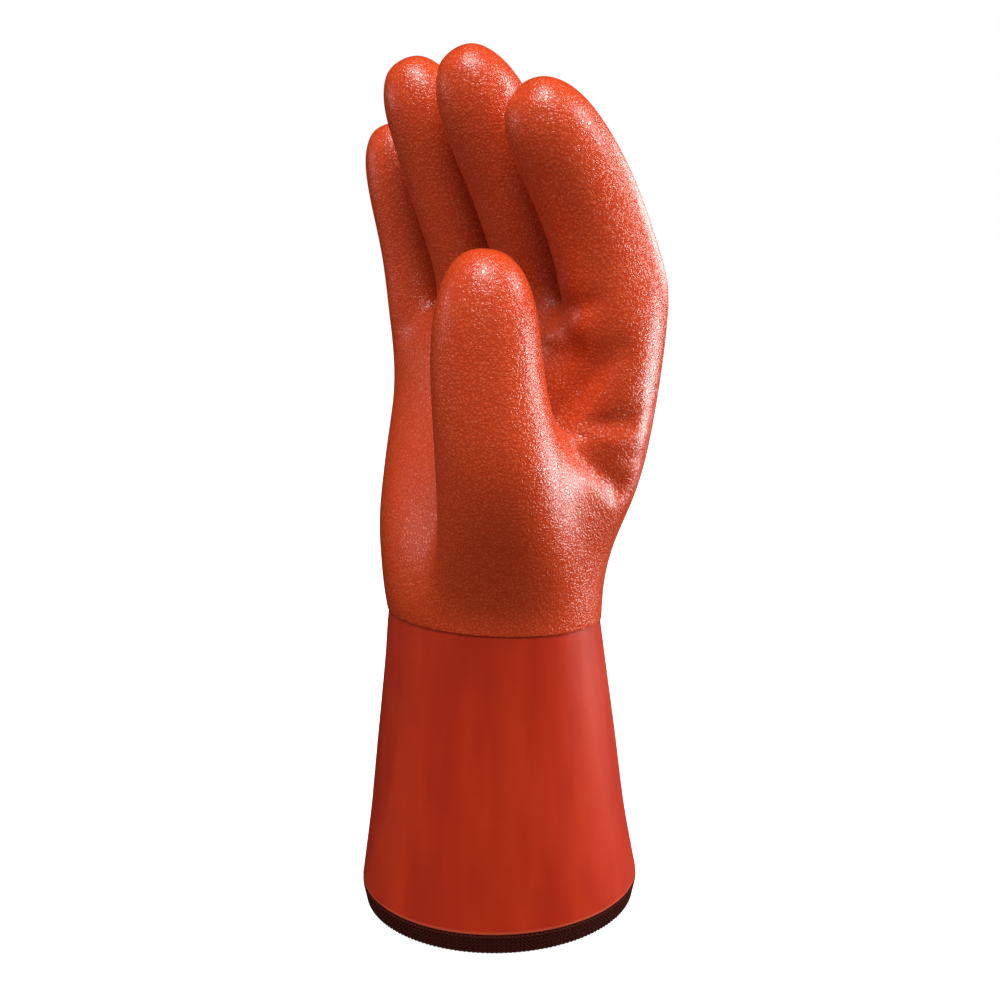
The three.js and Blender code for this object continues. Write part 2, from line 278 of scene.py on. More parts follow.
@dataclass(frozen=True)
class SmoothDippedPvc:
    """PVC plastisol dipped and set smooth.

    The eye sees a satin skin with soft streaks where it ran down before it set. Along the
    rounded lip above the rim the coat is painted paler, a painted highlight where the lip
    catches the light.
    """

    name: str = "Smooth_dipped_PVC"
    colour: str = "#92200c"
    paler_colour: str = "#a0290f"
    # The lip's paler colour is a painted highlight, over the band between the two heights below.
    lip_highlight_colour: str = "#c4543c"
    lip_highlight_foot: float = 7.5
    lip_highlight_top: float = 9.0
    run: Point = (13.0, 13.0, 70.0)
    run_share: float = 3.0
    streak_edges: Pair = (0.3, 0.7)
    peel: float = 7.0
    relief: float = 0.16
    specular: float = 0.08
    ior: float = 1.53
    roughness: float = 0.5

    def material(self) -> bpy.types.Material:
        """Builds the node material.

        Returns:
            The material.
        """
        material, shader = new_material(self.name)
        node = partial(add_node, material.node_tree)
        place = node("ShaderNodeTexCoord").outputs["Object"]
        scale = tuple(per_mm(length) for length in self.run)
        stretched = node("ShaderNodeMapping", inputs={"Vector": place, "Scale": scale})
        runs = node(NOISE, inputs={"Vector": stretched, "Scale": 1.0})
        peel = node(NOISE, inputs={"Vector": place, "Scale": per_mm(self.peel)})
        height = node(MATH, MULTIPLY_ADD, {0: runs, 1: self.run_share, 2: peel})
        bump = node(BUMP, inputs={"Height": height, "Distance": self.relief * MM})
        low, high = self.streak_edges
        streak = node(MAP_RANGE, SMOOTH, {"Value": runs, "From Min": low, "From Max": high})
        coat = node(
            MIX,
            COLOURS,
            {"Factor": streak, COLOUR_A: linear(self.colour), COLOUR_B: linear(self.paler_colour)},
        )
        # Painted highlight: the coat turns paler low down along the rounded lip, where it would
        # catch the light.
        lip_highlight = node(
            MAP_RANGE,
            SMOOTH,
            {
                "Value": node(SEPARATE, inputs={0: place}).outputs["Z"],
                "From Min": self.lip_highlight_top * MM,
                "From Max": self.lip_highlight_foot * MM,
            },
        )
        coat_colour = coat.outputs[MIXED_COLOUR]
        colour = node(
            MIX,
            COLOURS,
            {"Factor": lip_highlight, COLOUR_A: coat_colour, COLOUR_B: linear(self.lip_highlight_colour)},
        )
        surface = {
            "Base Color": colour.outputs[MIXED_COLOUR],
            "Normal": bump,
            "Roughness": self.roughness,
            "IOR": self.ior,
            "Specular IOR Level": self.specular,
        }
        set_inputs(shader, surface)
        return material


@dataclass(frozen=True)
class KnittedLiner:
    """A dark jersey liner of spun yarn, knitted on a glove machine.

    The eye sees matt columns of small stitches that run up the sleeve.
    """

    name: str = "Knitted_liner"
    colour: str = "#3f130c"
    shade_colour: str = "#1a0705"
    wale: float = 1.6
    course: float = 1.3
    radius: float = 46.0
    relief: float = 0.35
    specular: float = 0.12
    roughness: float = 0.88

    def material(self) -> bpy.types.Material:
        """Builds the node material, in which each column and each row rises and falls once.

        Returns:
            The material.
        """
        material, shader = new_material(self.name)
        node = partial(add_node, material.node_tree)
        there_and_back = {"operation": "PINGPONG"}
        half_stitch = 0.5
        place = node("ShaderNodeTexCoord").outputs["Object"]
        axes = node(SEPARATE, inputs={0: place}).outputs
        angle = node(MATH, {"operation": "ARCTAN2"}, {0: axes["Y"], 1: axes["X"]})
        per_radian = round(math.tau * self.radius / self.wale) / math.tau
        wales = node(MATH, MULTIPLY, {0: angle, 1: per_radian})
        across = node(MATH, there_and_back, {0: wales, 1: half_stitch})
        courses = node(MATH, MULTIPLY_ADD, {0: axes["Z"], 1: per_mm(self.course), 2: across})
        along = node(MATH, there_and_back, {0: courses, 1: half_stitch})
        stitch = node(MATH, ADD, {0: across, 1: along})
        bump = node(BUMP, inputs={"Height": stitch, "Distance": self.relief * MM})
        colour = node(
            MIX,
            COLOURS,
            {"Factor": stitch, COLOUR_A: linear(self.shade_colour), COLOUR_B: linear(self.colour)},
        )
        surface = {
            "Base Color": colour.outputs[MIXED_COLOUR],
            "Normal": bump,
            "Roughness": self.roughness,
            "Specular IOR Level": self.specular,
        }
        set_inputs(shader, surface)
        return material


@dataclass(frozen=True)
class SpunYarn:
    """Dyed cotton and polyester yarn, spun and then knitted.

    The eye sees a matt thread with a little fuzz. The real fuzz is too fine to show, so it is
    drawn as coarse as it needs to be.
    """

    name: str = "Spun_yarn"
    colour: str = "#481509"
    shade_colour: str = "#2a0b05"
    fuzz: float = 0.5
    relief: float = 0.1
    specular: float = 0.12
    roughness: float = 0.9

    def material(self) -> bpy.types.Material:
        """Builds the node material.

        Returns:
            The material.
        """
        material, shader = new_material(self.name)
        node = partial(add_node, material.node_tree)
        place = node("ShaderNodeTexCoord").outputs["Object"]
        fuzz = node(NOISE, inputs={"Vector": place, "Scale": per_mm(self.fuzz)})
        bump = node(BUMP, inputs={"Height": fuzz, "Distance": self.relief * MM})
        colour = node(
            MIX,
            COLOURS,
            {"Factor": fuzz, COLOUR_A: linear(self.shade_colour), COLOUR_B: linear(self.colour)},
        )
        surface = {
            "Base Color": colour.outputs[MIXED_COLOUR],
            "Normal": bump,
            "Roughness": self.roughness,
            "Specular IOR Level": self.specular,
        }
        set_inputs(shader, surface)
        return material


@dataclass(frozen=True)
class StudioPaper:
    """Matt white background paper, lit a little from behind."""

    name: str = "Studio_paper"
    colour: str = "#e6e6e6"
    glow: float = 0.74
    roughness: float = 0.9

    def material(self) -> bpy.types.Material:
        """Builds the material.

        Returns:
            The material.
        """
        material, shader = new_material(self.name)
        surface = {
            "Base Color": linear(self.colour),
            "Emission Color": WHITE,
            "Emission Strength": self.glow,
            "Roughness": self.roughness,
        }
        set_inputs(shader, surface)
        return material


# Meshes.


def new_object(name: str, data: bpy.types.ID) -> bpy.types.Object:
    """Puts a mesh, a lamp or a lens into the scene as an object at the origin.

    Args:
        name: the object's name.
        data: the mesh, lamp or lens.

    Returns:
        The object.
    """
    thing = bpy.data.objects.new(name, data)
    bpy.context.scene.collection.objects.link(thing)
    return thing


def evaluated_mesh(piece: bpy.types.Object) -> bpy.types.Mesh:
    """Returns the plain mesh that a piece's modifiers make."""
    return bpy.data.meshes.new_from_object(
        piece.evaluated_get(bpy.context.evaluated_depsgraph_get())
    )


def take_modifiers(piece: bpy.types.Object) -> None:
    """Makes the result of a piece's modifiers its mesh, and removes them.

    Args:
        piece: the object.
    """
    made = evaluated_mesh(piece)
    piece.modifiers.clear()
    piece.data = made


def grow(piece: bpy.types.Object, tree: bpy.types.NodeTree, values: dict[str, Value]) -> None:
    """Runs a Geometry Nodes tree on a piece, and keeps its result as a plain mesh.

    Args:
        piece: the object whose mesh the tree starts from.
        tree: the node tree.
        values: the tree's inputs by name.
    """
    modifier = piece.modifiers.new(tree.name, "NODES")
    modifier.node_group = tree
    for socket in tree.interface.items_tree:
        if socket.in_out == "INPUT" and socket.name in values:
            modifier[socket.identifier] = values[socket.name]
    take_modifiers(piece)


def shade(piece: bpy.types.Object) -> None:
    """Shades a piece smooth, apart from its real corners."""
    piece.data.shade_smooth()
    piece.data.set_sharp_from_angle(angle=math.radians(CORNER_DEGREES))


def points_of(mesh: bpy.types.Mesh) -> np.ndarray:
    """Reads a mesh's points.

    Args:
        mesh: the mesh.

    Returns:
        One row for each point, in millimetres.
    """
    flat = np.empty(len(mesh.vertices) * 3, np.float32)
    mesh.vertices.foreach_get("co", flat)
    return flat.reshape(-1, 3).astype(float) / MM


def set_points(mesh: bpy.types.Mesh, points: np.ndarray) -> None:
    """Gives a mesh new points, in millimetres."""
    mesh.vertices.foreach_set("co", (points * MM).astype(np.float32).ravel())
    mesh.update()


def share_of(values: np.ndarray, low: float, high: float) -> np.ndarray:
    """Rises smoothly from 0 at low to 1 at high."""
    t = np.clip((values - low) / (high - low), 0, 1)
    return t * t * (3 - 2 * t)


def lumps(points: np.ndarray, size: float, seed: float) -> np.ndarray:
    """A smooth random value from -1 to 1 at each point.

    Args:
        points: one row each, in millimetres.
        size: how far apart the lumps are.
        seed: shifts the pattern, so that two uses differ.

    Returns:
        One value for each point.
    """
    return np.array([noise.noise(Vector(point) / size + Vector((seed,) * 3)) for point in points])


def distance_to(points: np.ndarray, line: tuple[Point, ...]) -> tuple[np.ndarray, np.ndarray]:
    """How far each point lies from a line of straight stretches, and how far along it.

    Args:
        points: one row each.
        line: the points that the stretches join.

    Returns:
        One distance for each point, and its nearest place as a share of the line.
    """
    corners = np.array(line, float)
    nearest = np.full(len(points), np.inf)
    along = np.zeros(len(points))
    for number, (start, end) in enumerate(zip(corners, corners[1:])):
        step = end - start
        t = np.clip((points - start) @ step / (step @ step), 0, 1)
        distance = np.linalg.norm(points - start - t[:, None] * step, axis=1)
        closer = distance < nearest
        nearest = np.where(closer, distance, nearest)
        along = np.where(closer, (number + t) / (len(corners) - 1), along)
    return nearest, along


def new_tree(
    name: str, start: str, sizes: dict[str, float | int], result: str
) -> bpy.types.NodeTree:
    """Starts a Geometry Nodes tree with its named inputs and its output.

    Args:
        name: the tree's name.
        start: the name of the geometry that it starts from.
        sizes: its sizes by name; whole numbers are counts.
        result: the name of the geometry that it makes.

    Returns:
        The tree, without nodes.
    """
    tree = bpy.data.node_groups.new(name, "GeometryNodeTree")
    face = tree.interface
    face.new_socket(start, in_out="INPUT", socket_type="NodeSocketGeometry")
    for key, value in sizes.items():
        kind = "NodeSocketInt" if isinstance(value, int) else "NodeSocketFloat"
        face.new_socket(key, in_out="INPUT", socket_type=kind)
    face.new_socket("Material", in_out="INPUT", socket_type="NodeSocketMaterial")
    face.new_socket(result, in_out="OUTPUT", socket_type="NodeSocketGeometry")
    return tree


def end_tree(
    tree: bpy.types.NodeTree, geometry: bpy.types.Node, material: bpy.types.NodeSocket
) -> None:
    """Ends a Geometry Nodes tree with a plain mesh in its material.

    Args:
        tree: the tree.
        geometry: the node that gives its geometry.
        material: the input that gives its material.
    """
    plain = add_node(tree, "GeometryNodeRealizeInstances", inputs={0: geometry})
    painted = add_node(
        tree, "GeometryNodeSetMaterial", inputs={"Geometry": plain, "Material": material}
    )
    add_node(tree, "NodeGroupOutput", inputs={0: painted})


@dataclass(frozen=True)
class SleeveShape:
    """The outside of the sleeve between its rim and the dip line, in millimetres."""

    rim_width: float = 99.0
    rim_depth: float = 103.0
    wrist_width: float = 80.8
    wrist_depth: float = 71.8
    wrist_shift: float = -3.0
    hem_height: float = 7.0
    line_height: float = 107.0
    line_rise: float = 1.0
    line_half_depth: float = 36.5
    ease: float = 0.9
    centre: Pair = (-0.618, 0.913)
    around: int = 192
    wave_size: float = 20.0
    wave_height: float = 0.7
    wave_reach: float = 5.0
    wave_seed: float = 11.0
    join_within: float = 0.0001

    def tree(self) -> bpy.types.NodeTree:
        """Builds the node tree that turns a profile into the sleeve.

        The profile is a closed loop of points: x is how far each lies in from the sleeve's
        outside, and z its height. The tree's inputs are this class's sizes.

        Returns:
            The tree.
        """
        tree = new_tree("Flared_sleeve", "Profile", self.sizes(), "Sleeve")
        node = partial(add_node, tree)
        size = node("NodeGroupInput").outputs
        domain = node("GeometryNodeAttributeDomainSize", inputs={"Geometry": size["Profile"]})
        count = domain.outputs["Point Count"]
        grid = node(
            "GeometryNodeMeshGrid",
            inputs={
                "Vertices X": node(MATH, ADD, {0: size["Around"], 1: 1}),
                "Vertices Y": node(MATH, ADD, {0: count, 1: 1}),
            },
        )
        along = node(SEPARATE, inputs={0: grid.outputs["UV Map"]}).outputs
        step = node(MATH, MULTIPLY, {0: along["Y"], 1: count})
        row = node(MATH, {"operation": "ROUND"}, {0: step})
        sample = node(
            "GeometryNodeSampleIndex",
            {"data_type": "FLOAT_VECTOR", "domain": "POINT"},
            {
                "Geometry": size["Profile"],
                "Value": node("GeometryNodeInputPosition"),
                "Index": node(MATH, {"operation": "MODULO"}, {0: row, 1: count}),
            },
        )
        profile = node(SEPARATE, inputs={0: sample}).outputs
        share = node(
            MAP_RANGE,
            inputs={
                "Value": profile["Z"],
                "From Min": size["Hem height"],
                "From Max": size["Line height"],
            },
        )
        eased = node(MATH, {"operation": "POWER"}, {0: share, 1: size["Ease"]})
        turn = node(MATH, MULTIPLY, {0: along["X"], 1: math.tau})
        place = {}
        for name, wave in (("width", "COSINE"), ("depth", "SINE")):
            ends = {NUMBER_A: size["Rim " + name], NUMBER_B: size["Wrist " + name]}
            full = node(MIX, inputs={"Factor": eased, **ends})
            half = node(MATH, DIVIDE, {0: full, 1: 2.0})
            reach = node(MATH, SUBTRACT, {0: half, 1: profile["X"]})
            round_share = node(MATH, {"operation": wave}, {0: turn})
            place[name] = node(MATH, MULTIPLY, {0: reach, 1: round_share})
        slope = node(MATH, DIVIDE, {0: size["Line rise"], 1: size["Line half depth"]})
        tilt = node(MATH, MULTIPLY, {0: slope, 1: place["depth"]})
        drop = node(MATH, MULTIPLY, {0: tilt, 1: share})
        shifted = node(MATH, MULTIPLY_ADD, {0: size["Wrist shift"], 1: eased, 2: place["depth"]})
        point = node(
            COMBINE,
            inputs={
                "X": node(MATH, ADD, {0: place["width"], 1: size["Centre x"]}),
                "Y": node(MATH, ADD, {0: shifted, 1: size["Centre y"]}),
                "Z": node(MATH, SUBTRACT, {0: profile["Z"], 1: drop}),
            },
        )
        placed = node("GeometryNodeSetPosition", inputs={"Geometry": grid, "Position": point})
        closed = node(
            "GeometryNodeMergeByDistance",
            inputs={"Geometry": placed, "Distance": self.join_within * MM},
        )
        end_tree(tree, closed, size["Material"])
        return tree

    def sizes(self) -> dict[str, float | int]:
        """The tree's inputs by name, in metres where they are lengths."""
        return {
            "Around": self.around,
            "Rim width": self.rim_width * MM,
            "Rim depth": self.rim_depth * MM,
            "Wrist width": self.wrist_width * MM,
            "Wrist depth": self.wrist_depth * MM,
            "Wrist shift": self.wrist_shift * MM,
            "Hem height": self.hem_height * MM,
            "Line height": self.line_height * MM,
            "Line rise": self.line_rise * MM,
            "Line half depth": self.line_half_depth * MM,
            "Ease": self.ease,
            "Centre x": self.centre[0] * MM,
            "Centre y": self.centre[1] * MM,
        }

    def outward(self, points: np.ndarray) -> np.ndarray:
        """The level way out from the sleeve's axis at each point.

        Args:
            points: one row each, in millimetres.

        Returns:
            One vector of length 1 for each point.
        """
        away = points - [*self.centre, 0]
        away[:, 2] = 0
        return away / np.linalg.norm(away, axis=1)[:, None]

    def line_wave(self, points: np.ndarray) -> np.ndarray:
        """How far the dip line wanders up or down, which fades out above and below it.

        Args:
            points: one row each, in millimetres.

        Returns:
            One height for each point.
        """
        around = self.outward(points) * self.wrist_width / 2
        fade = np.exp(-(((points[:, 2] - self.line_height) / self.wave_reach) ** 2))
        return self.wave_height * lumps(around, self.wave_size, self.wave_seed) * fade

    def turn(
        self, name: str, profile: Profile, material: bpy.types.Material
    ) -> bpy.types.Object:
        """Turns a profile into a closed ring.

        Args:
            name: the piece's name.
            profile: height and inset of each point, in millimetres, round the wall.
            material: the outer material.

        Returns:
            The piece, with outward faces.
        """
        mesh = bpy.data.meshes.new(name)
        points = [(inset * MM, 0.0, height * MM) for height, inset in profile]
        mesh.from_pydata(points, [], [])
        piece = new_object(name, mesh)
        grow(piece, self.tree(), {**self.sizes(), "Material": material})
        form = bmesh.new()
        form.from_mesh(piece.data)
        bmesh.ops.recalc_face_normals(form, faces=form.faces)
        form.to_mesh(piece.data)
        form.free()
        piece.data.materials.clear()
        piece.data.materials.append(material)
        shade(piece)
        return piece


@dataclass(frozen=True)
class Fold:
    """A crease pressed into the coat along a line, or a ridge raised by it.

    Lengths are millimetres. The depth at the line's start and the one at its end count along
    the way in, so a ridge has negative ones.
    """

    line: tuple[Point, ...]
    way_in: Point
    depth: float
    end_depth: float
    width: float

    def push(self, points: np.ndarray) -> np.ndarray:
        """How far the fold moves each point.

        Args:
            points: one row each.

        Returns:
            One vector for each point.
        """
        way = np.array(self.way_in) / np.linalg.norm(self.way_in)
        distance, along = distance_to(points, self.line)
        depth = self.depth + (self.end_depth - self.depth) * along
        return np.outer(depth * np.exp(-((distance / self.width) ** 2)), way)


# From top to bottom: the crease under the index finger's pulp and the ridge below it, the crease
# from the web up the index finger, the web's dimple and ridge, and the crease down the thumb.
THUMB_WEB_FOLDS = (
    Fold(((35, -4, 214), (45, -7, 214), (54, -5, 215)), (0.0, 1.0, 0.0), 1.8, 1.2, 3.5),
    Fold(((34, -4, 205), (41, -6, 204), (49, -5, 206)), (0.0, 1.0, 0.0), -2.4, -1.2, 4.5),
    Fold(
        ((40, -7, 178), (45, -5, 186), (51, -3, 193), (58, 3, 200)), (-0.6, 0.8, 0.0), 2.8, 1.2, 4.5
    ),
    Fold(((52, 0, 177), (55, 3, 177), (57, 8, 178)), (-0.9, 0.4, 0.2), 1.2, 1.4, 3.5),
    Fold(
        ((46, -5, 174), (51, 0, 172), (54, 6, 171), (55, 15, 171)), (-0.9, 0.3, 0.0), -1.0, -1.0, 3.5
    ),
    Fold(
        ((50, -8, 168), (51, -3, 164), (52, 3, 160), (52, 9, 156)), (-1.0, 0.0, 0.1), 1.6, 2.4, 4.2
    ),
)
THUMB_WEB = ((44, -6, 176), (48, -4, 174), (52, 0, 172), (54, 5, 171))


@dataclass
class Hand:
    """The rough-grip hand: palm, four fingers and thumb in one dipped shell.

    Lengths are millimetres. The heights even_up_to, uneven_from and rim_reach are counted from
    the shell's lowest point.
    """

    node: str = "hand"
    name: str = "rough_hand"
    slot: Slot = Slot.HAND
    coat: RoughDippedPvc = field(default_factory=RoughDippedPvc)
    liner: KnittedLiner = field(default_factory=KnittedLiner)
    sleeve: SleeveShape = field(default_factory=SleeveShape)
    folds: tuple[Fold, ...] = THUMB_WEB_FOLDS
    web: tuple[Point, ...] = THUMB_WEB
    web_reach: float = 9.0
    web_rounds: int = 30
    levels: int = 2
    fitting_rounds: int = 4
    lump_size: float = 26.0
    lump_height: float = 0.45
    lump_seed: float = 3.0
    even_up_to: float = 2.0
    uneven_from: float = 25.0
    join_within: float = 0.002
    rim_facing: float = -0.9
    rim_reach: float = 3.0
    rim_radius: float = 0.3
    rim_steps: int = 3
    rim_corner_degrees: float = 60.0

    def copied_shell(self) -> bpy.types.Object:
        """Copies the solid's mesh, joins its loose triangles, and pairs them into quads again.

        Returns:
            The shell as an object.
        """
        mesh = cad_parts[self.node].data.copy()
        mesh.materials.clear()
        form = bmesh.new()
        form.from_mesh(mesh)
        bmesh.ops.remove_doubles(form, verts=form.verts, dist=self.join_within * MM)
        bmesh.ops.join_triangles(
            form,
            faces=form.faces,
            angle_face_threshold=math.pi,
            angle_shape_threshold=math.pi,
        )
        self.mark_rim(form)
        form.to_mesh(mesh)
        form.free()
        return new_object(self.name, mesh)

    def mark_rim(self, form: bmesh.types.BMesh) -> None:
        """Keeps the rim's two edges sharp, and gives the liner's side its material.

        Args:
            form: the shell, of which the flat rim is the only part that faces straight down
                below the dip line.
        """
        lowest = min(vert.co.z for vert in form.verts)
        highest = max(form.verts, key=lambda vert: vert.co.z)
        rim_top = lowest + self.rim_reach * MM
        rim = {
            face
            for face in form.faces
            if face.normal.z < self.rim_facing and max(v.co.z for v in face.verts) < rim_top
        }
        crease = form.edges.layers.float.new("crease_edge")
        for edge in form.edges:
            if len(rim.intersection(edge.link_faces)) == 1:
                edge[crease] = 1.0
        outer = set(highest.link_faces)
        waiting = list(outer)
        while waiting:
            for edge in waiting.pop().edges:
                for face in edge.link_faces:
                    if face not in outer and face not in rim:
                        outer.add(face)
                        waiting.append(face)
        outer |= rim
        for face in form.faces:
            face.material_index = (Side.OUTER if face in outer else Side.INNER).value

    def smooth(self, piece: bpy.types.Object) -> None:
        """Subdivides the shell so that its smooth surface runs through the solid's own points.

        Args:
            piece: the shell.
        """
        wanted = points_of(piece.data)
        cage = wanted.copy()
        modifier = piece.modifiers.new("Smooth", "SUBSURF")
        modifier.levels = modifier.render_levels = 1
        for _ in range(self.fitting_rounds):
            reached = points_of(evaluated_mesh(piece))[: len(wanted)]
            cage += wanted - reached
            set_points(piece.data, cage)
        modifier.levels = modifier.render_levels = self.levels
        take_modifiers(piece)

    def relax(self, piece: bpy.types.Object) -> None:
        """Softens the crease where the thumb's web joins the palm, as thick coat fills it.

        Args:
            piece: the shell.
        """
        points = points_of(piece.data)
        edges = np.array([edge.vertices[:] for edge in piece.data.edges])
        count = np.bincount(edges.ravel(), minlength=len(points))[:, None]
        distance, _ = distance_to(points, self.web)
        weight = np.exp(-((distance / self.web_reach) ** 2))[:, None]
        for _ in range(self.web_rounds):
            around = np.zeros_like(points)
            np.add.at(around, edges[:, 0], points[edges[:, 1]])
            np.add.at(around, edges[:, 1], points[edges[:, 0]])
            points += weight * (around / count - points)
        set_points(piece.data, points)

    def sculpt(self, piece: bpy.types.Object) -> None:
        """Presses the folds of the thumb's web into both sides, and makes the coat uneven.

        Args:
            piece: the shell.
        """
        points = points_of(piece.data)
        normals = np.array([vert.normal[:] for vert in piece.data.vertices])
        up = points[:, 2] - points[:, 2].min()
        height = self.lump_height * lumps(points, self.lump_size, self.lump_seed)
        height *= share_of(up, self.even_up_to, self.uneven_from)
        pushed = sum(fold.push(points) for fold in self.folds)
        pushed[:, 2] += self.sleeve.line_wave(points)
        set_points(piece.data, points + normals * height[:, None] + pushed)

    def round_rim(self, piece: bpy.types.Object) -> None:
        """Rounds the two edges of the rim.

        Args:
            piece: the shell.
        """
        modifier = piece.modifiers.new("Rim", "BEVEL")
        modifier.width = self.rim_radius * MM
        modifier.segments = self.rim_steps
        modifier.limit_method = "ANGLE"
        modifier.angle_limit = math.radians(self.rim_corner_degrees)
        take_modifiers(piece)

    def build(self) -> bpy.types.Object:
        """Builds and dresses the hand.

        Returns:
            The piece that stands for the solid.
        """
        piece = self.copied_shell()
        self.smooth(piece)
        self.relax(piece)
        self.sculpt(piece)
        self.round_rim(piece)
        shade(piece)
        piece.data.materials.append(self.coat.material())
        piece.data.materials.append(self.liner.material())
        return piece


def arc(centre: Pair, radius: float, first: float, last: float, steps: int) -> Profile:
    """Points on an arc of a profile.

    Args:
        centre: height and inset of its centre.
        radius: its radius.
        first: the direction of its first point in degrees; 0 is up and 90 is outwards.
        last: the direction of its last point.
        steps: how many pieces it has.

    Returns:
        Height and inset of each point.
    """
    return [
        (centre[0] + radius * math.cos(turn), centre[1] - radius * math.sin(turn))
        for turn in np.radians(np.linspace(first, last, steps + 1))
    ]


def wall(start: Pair, end: Pair, steps: int) -> Profile:
    """Evenly spaced points of a profile between two points, without the ends."""
    return [tuple(p) for p in np.linspace(start, end, steps + 1)[1:-1]]


@dataclass
class Cuff:
    """The smooth gauntlet from the hem up to the dip line, with its tuck inside the hand.

    Lengths are millimetres. The lumps fade in over foot_fade, counted up from the hem, and over
    top_fade, counted down from the dip line.
    """

    node: str = "cuff"
    name: str = "smooth_cuff"
    slot: Slot = Slot.CUFF
    shape: SleeveShape = field(default_factory=SleeveShape)
    coat: SmoothDippedPvc = field(default_factory=SmoothDippedPvc)
    liner: KnittedLiner = field(default_factory=KnittedLiner)
    thickness: float = 2.6
    hem_gap: float = 0.3
    line_gap: float = 0.05
    shoulder_inset: float = 2.7
    shoulder_radius: float = 0.25
    tuck_height: float = 9.0
    tuck_wall: float = 1.5
    tuck_taper: float = 1.6
    tuck_root: float = 9.0
    root_length: float = 18.0
    lip_radius: float = 1.1
    lip_drop: float = 0.3
    lip_steps: int = 6
    outside_steps: int = 60
    shoulder_steps: int = 3
    tuck_steps: int = 4
    root_steps: int = 6
    inside_steps: int = 30
    inside_facing: float = -0.5
    lump_size: float = 34.0
    lump_height: float = 0.8
    lump_seed: float = 7.0
    lump_slimness: float = 0.6
    foot_fade: Pair = (1.0, 30.0)
    top_fade: Pair = (4.0, 18.0)

    def profile(self) -> Profile:
        """Lays out the wall's outline.

        Returns:
            Height and inset of each point round the wall.
        """
        low = self.shape.hem_height + self.hem_gap
        top = self.shape.line_height - self.line_gap
        lip = self.lip_radius
        corner = self.shoulder_radius
        tuck = self.shoulder_inset
        inner = tuck + self.tuck_wall
        bottom = arc((low + lip, lip), lip, DOWN, OUT, self.lip_steps)
        shoulder = arc((top - corner, corner), corner, OUT, UP, self.shoulder_steps)
        tuck_top = top + self.tuck_height
        tuck_edge = (tuck_top, inner + self.tuck_taper)
        root_top = (top - self.tuck_root, inner)
        root_foot = (root_top[0] - self.root_length, self.thickness)
        inside = (low + 2 * lip, self.thickness)
        return [
            *bottom,
            *wall(bottom[-1], shoulder[0], self.outside_steps),
            *shoulder,
            (top, tuck),
            (tuck_top, tuck + self.tuck_taper),
            tuck_edge,
            *wall(tuck_edge, root_top, self.tuck_steps),
            root_top,
            *wall(root_top, root_foot, self.root_steps),
            root_foot,
            *wall(root_foot, inside, self.inside_steps),
            inside,
            (low, self.thickness - self.lip_drop),
        ]

    def unevenness(self, piece: bpy.types.Object) -> None:
        """Pushes both sides of the wall in and out a little, but neither its rim nor its top.

        Args:
            piece: the cuff.
        """
        points = points_of(piece.data)
        away = self.shape.outward(points)
        share = share_of(points[:, 2] - self.shape.hem_height, *self.foot_fade)
        share *= share_of(self.shape.line_height - points[:, 2], *self.top_fade)
        round_shell = away * self.shape.rim_width / 2 + points * [0, 0, self.lump_slimness]
        height = self.lump_height * lumps(round_shell, self.lump_size, self.lump_seed)
        moved = points + away * (height * share)[:, None]
        moved[:, 2] += self.shape.line_wave(points)
        set_points(piece.data, moved)

    def build(self) -> bpy.types.Object:
        """Builds and dresses the cuff.

        Returns:
            The piece that stands for the solid.
        """
        piece = self.shape.turn(self.name, self.profile(), self.coat.material())
        self.unevenness(piece)
        piece.data.materials.append(self.liner.material())
        centre = Vector((*self.shape.centre, 0)) * MM
        for polygon in piece.data.polygons:
            away = (polygon.center - centre) * Vector((1, 1, 0))
            faces_in = polygon.normal.dot(away.normalized()) < self.inside_facing
            polygon.material_index = (Side.INNER if faces_in else Side.OUTER).value
        return piece


@dataclass
class Hem:
    """The dark knitted edge under the cuff's rim, turned up inside the sleeve."""

    node: str = "hem"
    name: str = "knit_hem"
    slot: Slot = Slot.HEM
    shape: SleeveShape = field(default_factory=SleeveShape)
    yarn: KnittedLiner = field(default_factory=lambda: KnittedLiner(name="Knitted_hem"))
    inside: float = 2.9
    turned_up: float = 8.0
    turned_up_wall: float = 1.3
    radius: float = 0.9
    step_back: float = 0.5
    taper: float = 1.3
    edge_steps: int = 4
    outside_steps: int = 5
    inside_steps: int = 8

    def profile(self) -> Profile:
        """Lays out the band's outline.

        Returns:
            Height and inset of each point round the band.
        """
        edge = self.radius
        rim = (self.shape.hem_height, self.step_back)
        top = self.shape.hem_height + self.turned_up
        inner = self.inside + self.turned_up_wall
        bottom = arc((edge, self.step_back + self.taper + edge), edge, DOWN, OUT, self.edge_steps)
        return [
            *bottom,
            *wall(bottom[-1], rim, self.outside_steps),
            rim,
            (self.shape.hem_height, self.inside),
            (top, self.inside),
            (top, inner),
            *wall((top, inner), (edge, inner), self.inside_steps),
            (edge, inner),
            (0, inner - edge),
        ]

    def build(self) -> bpy.types.Object:
        """Builds and dresses the hem.

        Returns:
            The piece that stands for the solid.
        """
        return self.shape.turn(self.name, self.profile(), self.yarn.material())


